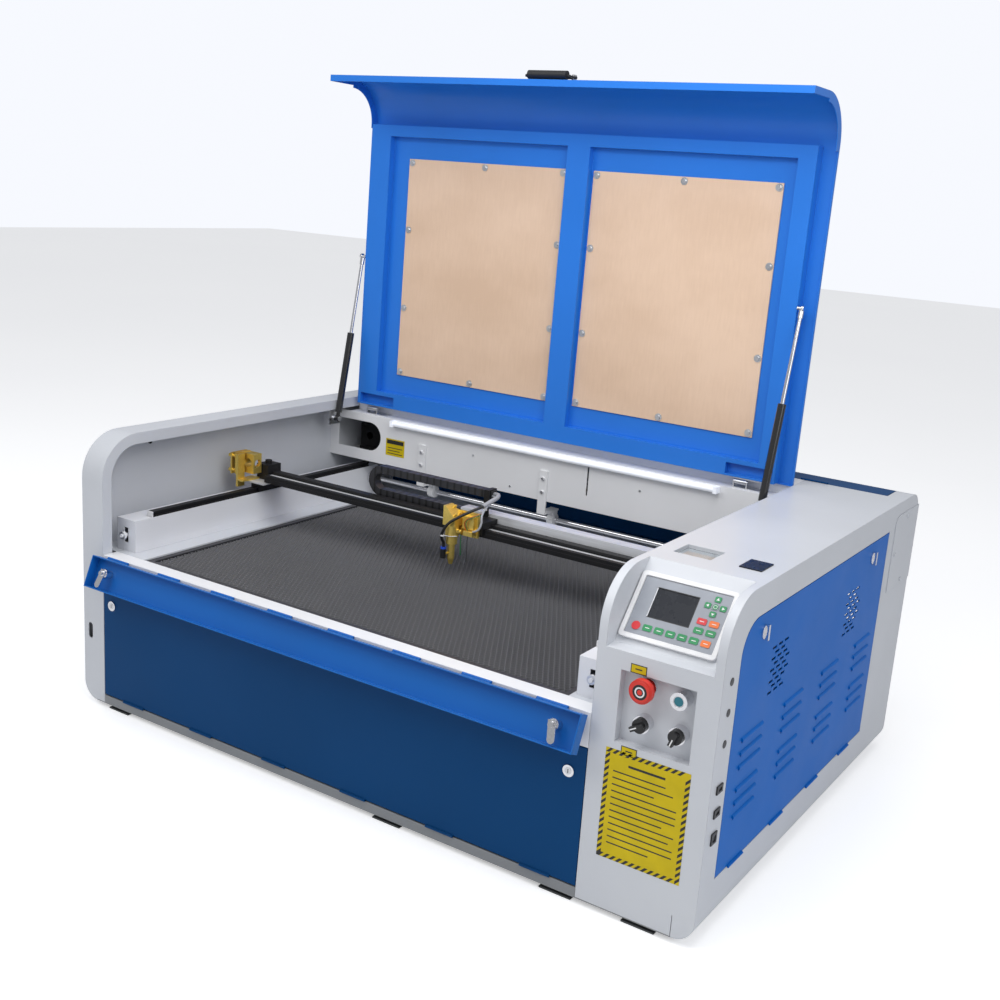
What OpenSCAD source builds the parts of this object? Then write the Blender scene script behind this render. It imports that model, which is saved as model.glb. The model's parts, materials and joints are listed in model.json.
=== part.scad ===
// Desktop laser cutter with a lift-up lid, a moving gantry and a side control cabinet.
// Millimetres, Z up. X runs along the front to the right, Y runs to the rear.
// The origin is the centre of the body's footprint, on the floor under the feet.

/* [Body] */
// overall width of the steel body
body_w = 1450; // [1400:5:1500]
// overall depth of the steel body
body_d = 983;
// height of the left side wall above the base
wall_h = 581;
// height of the control cabinet above the base
cab_h = 572;
// width of the control cabinet
cab_w = 215;
// height of the feet
foot_h = 10; // [8:1:20]
// sheet metal thickness
sheet = 2; // [1.5:0.1:2.5]
// width of the folded rim around the left wall
rim_w = 63;
// depth of the return fold inside the rim
rim_fold = 24; // [16:1:30]
// radius of the big front corner, seen from the side
nose_r = 92;
// radius of the rear top corner, seen from the side
tail_r = 45;
// radius of the lower long edges
belly_r = 39;

/* [Openings and doors] */
// height of the sill that the work lies on
sill_h = 333;
// top edge of the lower front door
door_top = 270;
// height of the fold-down front flap
flap_h = 66; // [60:1:66]
// angle the flap hangs out from vertical
flap_hang = 22; // [15:1:30]
// depth of the flap tray
flap_t = 22; // [16:1:24]

/* [Lid] */
// left edge of the lid skin
lid_x0 = 70;
// right edge of the lid skin
lid_x1 = 1233;
// height of the open lid above its hinge
lid_len = 787;
// how far the front lip stands out from the hinge line
lid_lip = 157; // [150:1:160]
// outside radius between the lid skin and its lip
lid_r = 95; // [70:1:100]
// angle the open lid leans back
lid_lean = 1.3;
// hinge line behind the front
lid_y = 797;
// hinge line above the base
lid_z = 561;

/* [Motion] */
// middle of the gantry beam behind the front
beam_y = 440; // [200:5:600]
// middle of the cutting head from the left side
head_x = 680; // [300:5:1000]
// rear shaft line behind the front
shaft_y = 833;
// rear shaft line above the base
shaft_z = 373;
// height of the laser beam line
beam_z = 470;

/* [Bed] */
// left side of the bed opening
bed_x0 = 146;
// right side of the bed opening
bed_x1 = 1171;
// rear side of the bed opening
bed_y1 = 757;

/* [Hidden] */
$fn = 48;
cab_x = body_w - cab_w;
e = 0.01;
rib = 15;

// everything is drawn from the front left lower corner of the body, then moved to the origin
module place() {
  translate([-body_w / 2, -body_d / 2, foot_h]) children();
}

// a block given by its two opposite corners
module box(a, b) {
  translate(a) cube([b[0] - a[0], b[1] - a[1], b[2] - a[2]]);
}

// a bar along X, Y or Z between two stations
module bar_x(x0, x1, y, z, r) {
  translate([x0, y, z]) rotate([0, 90, 0]) cylinder(h = x1 - x0, r = r);
}
module bar_y(y0, y1, x, z, r) {
  translate([x, y1, z]) rotate([90, 0, 0]) cylinder(h = y1 - y0, r = r);
}
module bar_z(z0, z1, x, y, r) {
  translate([x, y, z0]) cylinder(h = z1 - z0, r = r);
}

// extrude a side view drawn in Y and Z along X
module along_x(x0, x1) {
  translate([x0, 0, 0]) rotate([90, 0, 90]) linear_extrude(x1 - x0) children();
}

// side view of the body: d is how far it is taken in, h the height
module side_view(d, h) {
  translate([d, -1]) square([nose_r - d, h - nose_r + 1]);
  translate([nose_r, -1]) square([body_d - nose_r - tail_r, h - d + 1]);
  translate([body_d - tail_r - e, -1]) square([tail_r - d + e, h - tail_r + 1]);
  intersection() {
    translate([nose_r, h - nose_r]) circle(nose_r - d, $fn = 96);
    translate([0, h - nose_r - e]) square([nose_r + e, nose_r + 1]);
  }
  intersection() {
    translate([body_d - tail_r, h - tail_r]) circle(tail_r - d);
    translate([body_d - tail_r - e, h - tail_r - e]) square([tail_r + 1, tail_r + 1]);
  }
}

// side view of the cabinet between its two ribs, with the sloping screen face
module slope_view(d) {
  intersection() {
    side_view(d, cab_h);
    polygon([[-1, -2], [body_d + 1, -2], [body_d + 1, cab_h + 1],
      [slope_y1 + d * 1.1, cab_h + 1], [slope_y1 + d * 1.1, cab_h],
      [slope_y0 + d * 1.1, slope_z0 - d * 0.6], [-1, slope_z0 - 1 - d]]);
  }
}
slope_y0 = 27;
slope_z0 = 453;
slope_y1 = 127;
slope_a = atan2(cab_h - slope_z0, slope_y1 - slope_y0);

// front view of the body with its two rounded lower edges
module belly_block() {
  translate([0, body_d + 1, 0]) rotate([90, 0, 0]) linear_extrude(body_d + 2) {
    translate([belly_r, 0]) square([body_w - 2 * belly_r, 700]);
    translate([0, belly_r]) square([body_w, 700]);
    translate([belly_r, belly_r]) circle(belly_r);
    translate([body_w - belly_r, belly_r]) circle(belly_r);
  }
}

// rounded lower edge sheet along the body, s = 1 left, s = -1 right
module belly_fold(x, s) {
  translate([x, body_d, belly_r]) rotate([90, 0, 0]) linear_extrude(body_d)
    intersection() {
      difference() {
        circle(belly_r);
        circle(belly_r - sheet);
      }
      translate([s > 0 ? -belly_r - 1 : 0, -belly_r - 1]) square([belly_r + 1, belly_r + 1]);
    }
}

// ------------------------------------------------------------------ fixed body
module left_wall() {
  color("gainsboro") place() {
    difference() {
      intersection() {
        difference() {
          along_x(0, rim_w) side_view(0, wall_h);
          along_x(sheet, rim_w - sheet) side_view(sheet, wall_h);
          along_x(rim_w - sheet - 1, rim_w + 1) side_view(rim_fold, wall_h);
          box([-1, -1, -5], [rim_w + 1, body_d + 1, 0]);
          box([-1, -1, -5], [sheet, body_d + 1, belly_r]);
        }
        belly_block();
      }
      // oval slot for a lashing strap
      for (z = [144.5, 166.5]) bar_y(-1, sheet + 1, 20.5, z, 6.5);
      box([14, -1, 144.5], [27, sheet + 1, 166.5]);
      box([rim_w - sheet - 1, rim_fold - 3, -1], [rim_w + 1, body_d - rim_fold + 3, sheet + 6]);
      box([belly_r, -1, -5], [rim_w + 1, body_d + 1, sheet]);
    }
    belly_fold(belly_r, 1);
  }
}

module foot(x0, x1, y) {
  box([x0, y, -foot_h], [x1, y + 46, -foot_h + 3]);
  box([x0, y + 10, -foot_h], [x1, y + 38, 0]);
}

module base_pan() {
  color("gainsboro") place() {
    box([belly_r, 0, 0], [body_w - belly_r, body_d, sheet]);
    box([rim_w + 0.5, 0, 0], [cab_x - 0.5, sheet, 19]);
    box([rim_w + 0.5, 0, 17], [cab_x - 0.5, 18, 19]);
    for (y = [3, body_d - 49]) {
      foot(74, 132, y);
      foot(800, 862, y);
      foot(1163, 1225, y);
      foot(1321, 1381, y);
    }
  }
}

module sill() {
  color("whitesmoke") place() {
    box([rim_w + 0.5, 0, door_top + 2], [cab_x - 0.5, sheet, sill_h]);
    box([rim_w + 0.5, 0, sill_h - sheet], [cab_x - 0.5, 36, sill_h]);
    box([rim_w + 0.5, 34, sill_h - 26], [cab_x - 0.5, 36, sill_h]);
    box([rim_w + 0.5, 0, door_top + 2], [cab_x - 0.5, 22, door_top + 4]);
  }
}

// the deck beside and behind the bed, and the curtain walls of the bed well
module inner_deck() {
  color("silver") place() {
    difference() {
      box([sheet + 0.2, 36.2, sill_h - sheet], [cab_x - 0.2, body_d - sheet - 0.2, sill_h]);
      box([bed_x0, 30, sill_h - 9], [bed_x1, bed_y1, sill_h + 9]);
      for (y = [30, body_d - rim_fold - 1]) {
        box([rim_w - sheet - 0.5, y, sill_h - 9], [rim_w + 0.3, y + 40, sill_h + 9]);
      }
    }
    for (x = [bed_x0 - sheet, bed_x1]) {
      box([x, 38, 150], [x + sheet, bed_y1 + sheet, sill_h]);
    }
    box([bed_x0, bed_y1, 150], [bed_x1, bed_y1 + sheet, sill_h]);
    box([bed_x0 - sheet, 38, 80], [bed_x0 + 20, 58, 290]);
    box([bed_x1 - 20, 38, 80], [bed_x1 + sheet, 58, 290]);
    box([bed_x0 - sheet, bed_y1 - 20, 80], [bed_x0 + 20, bed_y1, 290]);
    box([bed_x1 - 20, bed_y1 - 20, 80], [bed_x1 + sheet, bed_y1, 290]);
    for (x = [bed_x0, bed_x1 - 20]) {
      for (y = [38, bed_y1 - 20]) box([x, y, sheet + 0.1], [x + 20, y + 20, 120]);
    }
  }
}

module side_door_shape(g) {
  // opening in the right side, g wider than the door on every edge
  y0 = 62 - g;
  y1 = 790 + g;
  z0 = 92 - g;
  z1 = 520 + g;
  r = 58;
  translate([y0, z0]) square([y1 - y0, z1 - z0 - r]);
  translate([y0 + r, z0]) square([y1 - y0 - r, z1 - z0]);
  translate([y0 + r, z1 - r]) circle(r);
}

module cabinet_shell() {
  x0 = cab_x;
  x1 = body_w;
  color("gainsboro") place() {
    difference() {
      intersection() {
        union() {
          along_x(x0, x0 + rib) side_view(0, cab_h);
          along_x(x0 + rib - e, x1 - rib + e) slope_view(0);
          along_x(x1 - rib, x1) side_view(0, cab_h);
        }
        belly_block();
      }
      along_x(x0 + sheet, x0 + rib - sheet) side_view(sheet, cab_h);
      along_x(x0 + rib - sheet - e, x1 - rib + sheet + e) slope_view(sheet);
      along_x(x1 - rib + sheet, x1 - sheet) side_view(sheet, cab_h);
      box([x0 - 1, -1, -5], [x1 + 1, body_d + 1, 0]);
      box([x0 - 1, -1, -5], [x1 - belly_r, body_d + 1, sheet]);
      box([x1 - belly_r - 1, -1, -1], [x1 + 1, body_d + 1, belly_r]);
      // side door
      along_x(x1 - sheet - 1, x1 + 1) side_door_shape(1.5);
      // switch recess
      box([1280, -1, 299], [1410, sheet + 1, 421]);
      // window and meter in the top
      box([1265, 180, cab_h - 5], [1333, 239, cab_h + 1]);
      box([1384, 182, cab_h - 5], [1419, 230, cab_h + 1]);
      // seat of the rear cover
      box([x0 - 1, 880, 432], [1411.5, body_d + 1, cab_h + 1]);
      // way through for the laser tube
      box([x0 - 1, 850, 400], [x0 + sheet + 1, 882, 540]);
      // key screen wiring hole
      translate([1336, 71.5, 506]) rotate([slope_a, 0, 0]) translate([0, 0, -5])
        box([-60, -35, -6], [60, 35, 8]);
      // round vent in the rear panel
      bar_y(body_d - 4, body_d + 1, 1342, 300, 45);
      // socket for mains power
      box([1290, body_d - 4, 92], [1338, body_d + 1, 120]);
      for (x = [1260, 1390]) bar_y(body_d - 4, body_d + 1, x, 200, 6);
      bar_y(body_d - 4, body_d + 1, 1390, 160, 5);
    }
    belly_fold(x1 - belly_r, -1);
    // front and rear plates close the rounded lower corner
    for (y = [0, body_d - sheet]) {
      intersection() {
        box([x1 - belly_r, y, 0], [x1, y + sheet, belly_r + 1]);
        belly_block();
      }
    }
    // walls of the switch recess
    difference() {
      box([1278, 0, 297], [1412, 18, 423]);
      box([1280, -1, 299], [1410, 16, 421]);
      for (x = [1323, 1385]) {
        for (z = [340, 400]) bar_y(10, 20, x, z, 11.1);
      }
    }
    // tray under the window
    difference() {
      box([1263, 178, cab_h - 12], [1335, 241, cab_h - 1]);
      box([1265, 180, cab_h - 10], [1333, 239, cab_h + 1]);
    }
    // fold around the side door
    difference() {
      along_x(x1 - 20, x1 - sheet) side_door_shape(3.5);
      along_x(x1 - 21, x1 + 1) side_door_shape(1.5);
    }
    // shelf fold inside, across the rear cover seat
    box([x0 + 1, 877, cab_h - 14], [1413.5, 880, cab_h - 1]);
    box([1411.5, 870, 422], [1413.5, body_d - 1, cab_h - tail_r - 8]);
    box([x0 + 1, 842, 426], [1412.5, body_d - 1, 428]);
  }
}

module rear_housing() {
  x0 = sheet + 0.2;
  x1 = cab_x - 0.2;
  color("whitesmoke") place() {
    difference() {
      union() {
        box([x0, 780, 430], [x1, 782, 548]);
        box([rim_w + 0.5, 780, 546], [x1, 820, 548]);
        box([rim_w + 0.5, 818, 546], [x1, 820, cab_h]);
        box([rim_w + 0.5, 818, cab_h - sheet], [x1, 880, cab_h]);
        box([rim_w + 0.5, 878, cab_h - 14], [x1, 880, cab_h]);
        box([x0, 780, 428], [x1, body_d - sheet - 0.2, 430]);
        box([rim_w + 0.5, body_d - sheet, 426], [x1, body_d, 436]);
        box([rim_w + 0.5, body_d - 20, 434], [x1, body_d, 436]);
      }
      // way through for the laser beam
      bar_y(770, 790, 131, 492, 36);
      box([30, 770, 456], [131, 790, 528]);
      // slot for a hanging tool
      box([764.5, 770, 463], [768.5, 790, 529]);
      box([1150, 860, 425], [1200, 900, 431]);
      box([rim_w - sheet - 0.5, body_d - rim_fold - 1, 420], [rim_w + 0.3, body_d, 432]);
    }
    difference() {
      box([rim_w + 0.5, body_d - sheet, sheet + 0.1], [x1, body_d, sill_h]);
      bar_y(body_d - 4, body_d + 1, 620, 190, 72);
      for (x = [300, 920]) {
        for (k = [0:5]) box([x - 60, body_d - 4, 120 + 20 * k], [x + 60, body_d + 1, 128 + 20 * k]);
      }
    }
  }
}

module service_cover() {
  // removable plate over the tube end, on the right side
  color("gainsboro") place() {
    along_x(body_w, body_w + 1.5) {
      translate([850, 385]) square([133, 160]);
      translate([828, 385]) square([155, 138]);
      translate([850, 523]) circle(22);
    }
    for (p = [[907, 533], [845, 462], [916, 394]]) {
      bar_x(body_w + 1, body_w + 3.5, p[0], p[1], 4.5);
    }
  }
}

module rail_box(x0, x1, y0) {
  difference() {
    box([x0, y0, sill_h], [x1, 858, 402]);
    box([x0 + sheet, y0 + sheet, sill_h + sheet], [x1 - sheet, 860, 400]);
    // tension slot and the holes for the rear shaft
    box([x0 + 22, y0 - 1, 352], [x0 + 34, y0 + 5, 384]);
    bar_x(x0 - 1, x1 + 1, shaft_y, shaft_z, 15);
  }
}

module rail_boxes() {
  color("silver") place() {
    rail_box(43, 99, 54.6);
    rail_box(body_w - 272, cab_x - 1, 50);
    for (x = [71, 1206]) {
      // belt tension screw
      bar_y(40, 56, x, 368, 4);
      bar_y(44, 50, x, 368, 8);
      bar_y(90, 96, x, 368, 8);
      bar_y(55, 96, x, 368, 4);
    }
  }
}

module y_rails() {
  color("dimgray") place() {
    for (x = [90, 1187]) {
      difference() {
        box([x - 7.5, 105, 402], [x + 7.5, 824, 414]);
        for (s = [-1, 1]) {
          box([x + s * 7.5 - 2, 100, 405.5], [x + s * 7.5 + 2, 830, 409.5]);
        }
      }
    }
  }
}

module shaft_supports() {
  color("white") place() {
    // bracket from the rear wall down to the shaft
    for (x = [300, 652]) {
      difference() {
        union() {
          box([x - 11, 776, 398], [x + 11, 780, 500]);
          box([x - 11, 776, 396], [x + 11, shaft_y + 8, 400]);
          box([x - 8, shaft_y - 12, 386], [x + 8, shaft_y + 8, 398]);
          bar_x(x - 8, x + 8, shaft_y, shaft_z, 15);
        }
        bar_x(x - 10, x + 10, shaft_y, shaft_z, 6.05);
        box([x - 12, 779.9, 430], [x + 12, 783, 501]);
      }
      for (z = [450, 482]) bar_y(772.5, 777, x, z, 4);
    }
    // drive motor behind the right rail box, hanging under the shaft shelf
    box([1120, 862, sill_h], [1176, 920, 390]);
    bar_x(1176, 1190, 891, 362, 11);
  }
}

// -------------------------------------------------------------- laser and wiring
module laser_tube() {
  color("lightcyan") place() {
    difference() {
      bar_x(130, 1370, 905, beam_z, 30);
      bar_x(133, 1367, 905, beam_z, 27);
    }
    difference() {
      bar_x(132, 1368, 905, beam_z, 15);
      bar_x(131, 1369, 905, beam_z, 13);
    }
    bar_x(118, 131, 905, beam_z, 12);
    bar_x(1369, 1382, 905, beam_z, 12);
    for (x = [170, 1330]) bar_z(beam_z + 27, beam_z + 48, x, 905, 4);
  }
}

module tube_clamps() {
  color("black") place() {
    for (x = [300, 1050]) {
      difference() {
        union() {
          box([x - 12, 865, 430], [x + 12, 945, 474]);
          bar_x(x - 12, x + 12, 905, beam_z, 36);
        }
        bar_x(x - 13, x + 13, 905, beam_z, 30.05);
      }
      for (y = [868, 942]) box([x - 10, y - 3, 460], [x + 10, y + 3, 492]);
    }
  }
}

module mirror_one() {
  color("goldenrod") place() {
    difference() {
      box([30, 870, 440], [96, 940, 500]);
      translate([60, 905, 430]) rotate([0, 0, 45]) box([-40, 4, -1], [40, 90, 90]);
      bar_x(62, 100, 905, beam_z, 10);
      bar_y(860, 906, 60, beam_z, 10);
    }
    box([30, 866, 430], [100, 944, 440]);
    for (p = [[42, 894], [56, 914], [70, 930]]) {
      translate([p[0], p[1], 488]) rotate([-90, 0, 45]) cylinder(h = 22, r = 4);
    }
  }
}

module electronics() {
  // laser supply with its fan grille, mounting plate, controller, two drivers and a power unit
  color("silver") place() {
    difference() {
      box([1262, 560, 2.1], [1362, 780, 153]);
      box([1264, 562, 4], [1360, 778, 151]);
      for (k = [0:5]) box([1272 + 14 * k, 770, 30], [1278 + 14 * k, 784, 120]);
    }
    box([1270, 552, 20], [1354, 560.1, 50]);
    box([1240, 130, 2.1], [1408, 520, 5]);
    difference() {
      box([1258, 150, 4.9], [1378, 320, 42]);
      box([1260, 152, 7], [1376, 318, 40]);
      for (k = [0:5]) box([1272 + 16 * k, 148, 14], [1280 + 16 * k, 154, 34]);
    }
    for (k = [0:1]) box([1258, 345 + 60 * k, 4.9], [1372, 380 + 60 * k, 80]);
    box([1258, 470, 4.9], [1372, 510, 60]);
  }
}

module exhaust_spigot() {
  color("silver") place() {
    difference() {
      union() {
        bar_y(body_d, body_d + 60, 620, 190, 75);
        bar_y(body_d, body_d + 3, 620, 190, 95);
      }
      bar_y(body_d - 1, body_d + 61, 620, 190, 73.5);
      for (a = [45:90:315]) {
        bar_y(body_d - 1, body_d + 4, 620 + 85 * cos(a), 190 + 85 * sin(a), 2.5);
      }
    }
  }
}

module water_barbs() {
  color("goldenrod") place() {
    for (x = [1260, 1390]) {
      difference() {
        union() {
          bar_y(body_d - 14, body_d + 6, x, 200, 5.9);
          bar_y(body_d, body_d + 6, x, 200, 10);
          bar_y(body_d, body_d + 34, x, 200, 5);
        }
        bar_y(body_d - 15, body_d + 36, x, 200, 3);
      }
    }
    difference() {
      union() {
        bar_y(body_d - 14, body_d + 5, 1390, 160, 4.9);
        bar_y(body_d, body_d + 5, 1390, 160, 8);
        bar_y(body_d, body_d + 28, 1390, 160, 4);
      }
      bar_y(body_d - 15, body_d + 30, 1390, 160, 2.4);
    }
  }
}

module led_bar() {
  color("white") place() {
    bar_x(214, 1078, 770, 539, 6);
    box([214, 770, 534], [1078, 780, 544]);
    for (x = [206, 1078]) box([x, 763, 532], [x + 8, 780, 546]);
  }
}

// ------------------------------------------------------------------ control panel
module on_slope(h) {
  translate([1336, 71.5, 506]) rotate([slope_a, 0, 0]) translate([0, 0, h]) children();
}

module pad(w, l, h, r) {
  translate([-w / 2 + r, -l / 2, 0]) cube([w - 2 * r, l, h]);
  translate([-w / 2, -l / 2 + r, 0]) cube([w, l - 2 * r, h]);
  for (x = [-1, 1]) {
    for (y = [-1, 1]) translate([x * (w / 2 - r), y * (l / 2 - r), 0]) cylinder(h = h, r = r);
  }
}

module hmi_bezel() {
  color("whitesmoke") place() {
    on_slope(0.1) difference() {
      union() {
        pad(168, 118, 6, 7);
        translate([0, 0, -22]) pad(118, 68, 22.5, 3);
      }
      translate([0, 0, 3]) pad(152, 102, 6, 2);
      translate([-13, 9, 1]) pad(76, 56, 6, 1);
    }
  }
}

module hmi_panel() {
  color("lightsteelblue") place() {
    on_slope(3.1) {
      difference() {
        translate([0, 0, 0.05]) pad(151, 101, 1.4, 2);
        translate([-13, 9, -1]) pad(74, 54, 6, 1);
      }
      // lower row of keys
      for (k = [0:6]) {
        translate([-60 + k * 20, -36, 1.4]) pad(16, 11.5, 0.8, 2);
      }
      // cross of arrow keys
      for (p = [[53, 39.5], [53, 13.5], [40, 26.5], [66, 26.5], [53, 26.5]]) {
        translate([p[0], p[1], 1.4]) pad(11, 10, 0.8, 1.5);
      }
      for (p = [[41, -2], [61.5, -2], [41, -18], [61.5, -18]]) {
        translate([p[0], p[1], 1.4]) pad(16.5, 11, 0.8, 2);
      }
    }
  }
}

module displays() {
  // screen of the control panel and the small meter in the cabinet top
  color("black") place() {
    on_slope(1.2) translate([-13, 9, 0]) pad(73, 53, 2, 1);
    box([1382, 180, cab_h + 0.05], [1421, 232, cab_h + 2]);
    box([1385, 183, cab_h - 22], [1418, 229, cab_h + 1]);
  }
}

module control_collars() {
  color("silver") place() {
    // emergency stop collar, push button collar and the two selector collars
    difference() {
      union() {
        bar_y(11, 16, 1323, 400, 14.5);
        bar_y(13, 50, 1323, 400, 11);
        bar_y(-8, 16, 1385, 400, 14.5);
        bar_y(13, 50, 1385, 400, 11);
        for (x = [1323, 1385]) {
          bar_y(-1, 16, x, 340, 14.5);
          bar_y(13, 50, x, 340, 11);
        }
      }
      for (x = [1323, 1385]) {
        bar_y(-10, 40, x, 340, 9.05);
        bar_y(-10, 40, x, 400, 9.05);
      }
    }
  }
}

module estop_button() {
  color("red") place() {
    bar_y(-15, -5, 1323, 400, 20);
    bar_y(-5, 4, 1323, 400, 15);
    bar_y(-17, -15, 1323, 400, 17);
    bar_y(0, 30, 1323, 400, 9);
  }
}

module push_button() {
  color("teal") place() {
    bar_y(-7, 30, 1385, 400, 9);
  }
}

module selector(x, a) {
  translate([x, 0, 340]) rotate([0, a, 0]) {
    rotate([-90, 0, 0]) translate([0, 0, -8]) cylinder(h = 6.7, r = 12);
    rotate([-90, 0, 0]) translate([0, 0, -2]) cylinder(h = 32, r = 9);
    box([-4, -15, -14], [4, -7, 10]);
  }
}

module selector_left() {
  color("black") place() selector(1323, 60);
}

module selector_right() {
  color("black") place() selector(1385, 20);
}

module top_window() {
  color("lightcyan") place() {
    box([1265.3, 180.3, cab_h - 9.9], [1332.7, 238.7, cab_h - 6]);
  }
}

module ports() {
  color("black") place() {
    // data, data and network sockets on the right side, behind the front edge
    for (z = [261, 220]) {
      difference() {
        box([body_w + 0.05, 22, z - 7], [body_w + 2.5, 44, z + 7]);
        box([body_w + 1, 27, z - 3], [body_w + 3, 39, z + 3]);
      }
    }
    difference() {
      box([body_w + 0.05, 23, 166], [body_w + 2.5, 43, 186]);
      box([body_w + 1, 27, 170], [body_w + 3, 39, 181]);
    }
    for (z = [439, 388, 336]) bar_x(body_w + 0.05, body_w + 0.8, 33, z, 6.5);
    // mains inlet at the rear
    difference() {
      union() {
        box([1290.2, body_d - 20, 92.2], [1337.8, body_d, 119.8]);
        box([1284, body_d + 0.05, 88], [1344, body_d + 3, 124]);
      }
      box([1300, body_d - 17, 96], [1328, body_d + 4, 116]);
    }
    for (x = [1307, 1314, 1321]) box([x - 1, body_d - 18, 104], [x + 1, body_d - 4, 110]);
  }
}

// ------------------------------------------------------------------ lid
module lid_place() {
  place() translate([0, lid_y, lid_z]) rotate([-lid_lean, 0, 0]) children();
}

// side view of the lid skin: a shallow edge up the back, a deeper one round the lip
module lid_view() {
  translate([-lid_lip, lid_len - 14]) square([20 - lid_r + lid_lip, 14]);
  intersection() {
    difference() {
      translate([20 - lid_r, lid_len - lid_r]) circle(lid_r, $fn = 96);
      translate([20 - lid_r, lid_len - lid_r]) circle(lid_r - 20, $fn = 96);
    }
    translate([20 - lid_r, lid_len - lid_r]) square([lid_r + 1, lid_r + 1]);
  }
  translate([13, 8]) square([7, lid_len - lid_r - 8]);
  translate([0, lid_len - lid_r - 10]) square([20, 10]);
}

module lid_shell() {
  color("dodgerblue") lid_place() {
    difference() {
      along_x(lid_x0, lid_x1) lid_view();
      // hollow behind the skin, open to the inside
      along_x(lid_x0 + sheet, lid_x1 - sheet) lid_core();
      // window openings through the skin
      for (x = [200, 706]) box([x, 10, 106], [x + 418, 30, 586]);
    }
    lid_frame();
  }
}

// what is taken out of the lid skin so that only sheet is left
module lid_core() {
  translate([-lid_lip + sheet, lid_len - 16]) square([20 - lid_r + lid_lip - sheet, 16 - sheet]);
  intersection() {
    difference() {
      translate([20 - lid_r, lid_len - lid_r]) circle(lid_r - sheet, $fn = 96);
      translate([20 - lid_r, lid_len - lid_r]) circle(lid_r - 21, $fn = 96);
    }
    translate([20 - lid_r, lid_len - lid_r]) square([lid_r + 1, lid_r + 1]);
  }
  translate([12, 8 + sheet]) square([8 - sheet, lid_len - lid_r - 8 - sheet]);
  translate([-1, lid_len - lid_r - 11]) square([21 - sheet, 11]);
}

// the welded frame on the inside of the lid
module lid_frame() {
  xa = 81.5;
  xb = 1200.5;
  t0 = -10;
  t1 = 18.5;
  union() {
    difference() {
      union() {
        box([xa, t0, 10], [xb, t1, 48]);
        box([xa, t0, 665], [xb, t1, 691]);
        box([xa, t0, 10], [140, t1, 691]);
        box([xb - 16, t0, 10], [xb, t1, 691]);
        box([1162, t0, 10], [xb, t1, 691]);
        box([633, t0, 10], [690, t1, 691]);
        box([xa, 8, 10], [xb, 10, 691]);
      }
      // hinge pockets
      for (x = [90, 1090]) box([x, t0 - 1, 14], [x + 105, 6, 38]);
      // window openings
      for (x = [200, 706]) box([x, -20, 106], [x + 418, 30, 586]);
    }
  }
}

module lid_windows() {
  color("tan") lid_place() {
    for (x = [190, 696]) box([x, 5, 96], [x + 438, 7.95, 616]);
  }
}

module lid_fittings() {
  color("silver") lid_place() {
    // window screws on washers
    for (x = [190, 696]) {
      for (p = [[9, 105], [219, 105], [429, 105], [9, 607], [219, 607], [429, 607],
        [9, 262], [9, 450], [429, 262], [429, 450]]) {
        bar_y(4, 4.95, x + p[0], p[1], 8);
        bar_y(1, 4.5, x + p[0], p[1], 4);
      }
    }
    // plate and lugs of the carrying handle on the lip
    translate([640, -112, lid_len + 0.05]) {
      box([-52, -22, 0], [52, 22, 2]);
      for (x = [-50, 46]) {
        difference() {
          box([x, 4, 0], [x + 4, 18, 16]);
          bar_x(x - 1, x + 5, 11, 10, 3.05);
        }
      }
    }
    // studs of the gas struts
    bar_x(72.3, 81.45, -7.8, 375, 4);
    bar_x(xr - 0.3 - 9.15, xr - 0.3, -7.8, 375, 4);
    // hinge leaves
    for (x = [110, 1110]) {
      box([x, -2, 5.7], [x + 60, 1, 9.9]);
      difference() {
        bar_x(x + 2.3, x + 28, 0, 0, 6);
        bar_x(x, x + 30, 0, 0, 3.05);
      }
      box([x + 2.3, -2, 3.5], [x + 28, 1, 9]);
    }
  }
}

module lid_bail() {
  color("black") lid_place() {
    translate([640, -112, lid_len + 0.05]) {
      bar_x(-54, 54, 11, 10, 3);
      for (x = [-54, 51]) box([x + 0.3 * sign(x), -16, 8], [x + 3 + 0.3 * sign(x), 13, 12]);
      bar_x(-54.3, 54.3, -16, 10, 3);
      bar_x(-47, 47, -16, 12, 9);
    }
  }
}

module lid_supports() {
  color("silver") place() {
    // lid hinges
    for (x = [110, 1110]) {
      box([x - 1, lid_y - 8, 548], [x + 60, lid_y + 20, 550]);
      for (s = [x - 1, x + 28.3]) {
        box([s, lid_y - 5, 549], [s + 3, lid_y + 5, lid_z]);
        bar_x(s, s + 3, lid_y, lid_z, 5);
      }
      bar_x(x - 1, x + 31, lid_y, lid_z, 3);
    }
    strut_brackets();
  }
}

// ------------------------------------------------------------------ gas struts
xl = 72;
xr = 1210;
strut_top = [797.7, 936];
strut_base_l = [723, 536];
strut_base_r = [704, 536];

module strut_frame(x, base) {
  // local Z runs up the strut from its lower pin
  place() translate([x, base[0], base[1]])
    rotate([-atan2(strut_top[0] - base[0], strut_top[1] - base[1]), 0, 0]) children();
}

module strut_body() {
  difference() {
    union() {
      bar_z(16, 216, 0, 0, 8.5);
      bar_z(4, 17, 0, 0, 5);
      bar_x(-5, 5, 0, 0, 8);
    }
    bar_x(-6, 6, 0, 0, 4.05);
    bar_z(40, 217, 0, 0, 4.05);
  }
}

module strut_rod(len) {
  bar_z(178, len - 4, 0, 0, 4);
  bar_z(len - 20, len - 4, 0, 0, 5.5);
  bar_x(-5, 0, 0, len, 7);
}

module strut_left() {
  color("black") strut_frame(xl, strut_base_l) strut_body();
}
module strut_right() {
  color("black") strut_frame(xr, strut_base_r) strut_body();
}
module rod_left() {
  len = norm([strut_top[0] - strut_base_l[0], strut_top[1] - strut_base_l[1]]);
  color("silver") strut_frame(xl, strut_base_l) strut_rod(len);
}
module rod_right() {
  len = norm([strut_top[0] - strut_base_r[0], strut_top[1] - strut_base_r[1]]);
  color("silver") strut_frame(xr, strut_base_r) mirror([1, 0, 0]) strut_rod(len);
}

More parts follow.
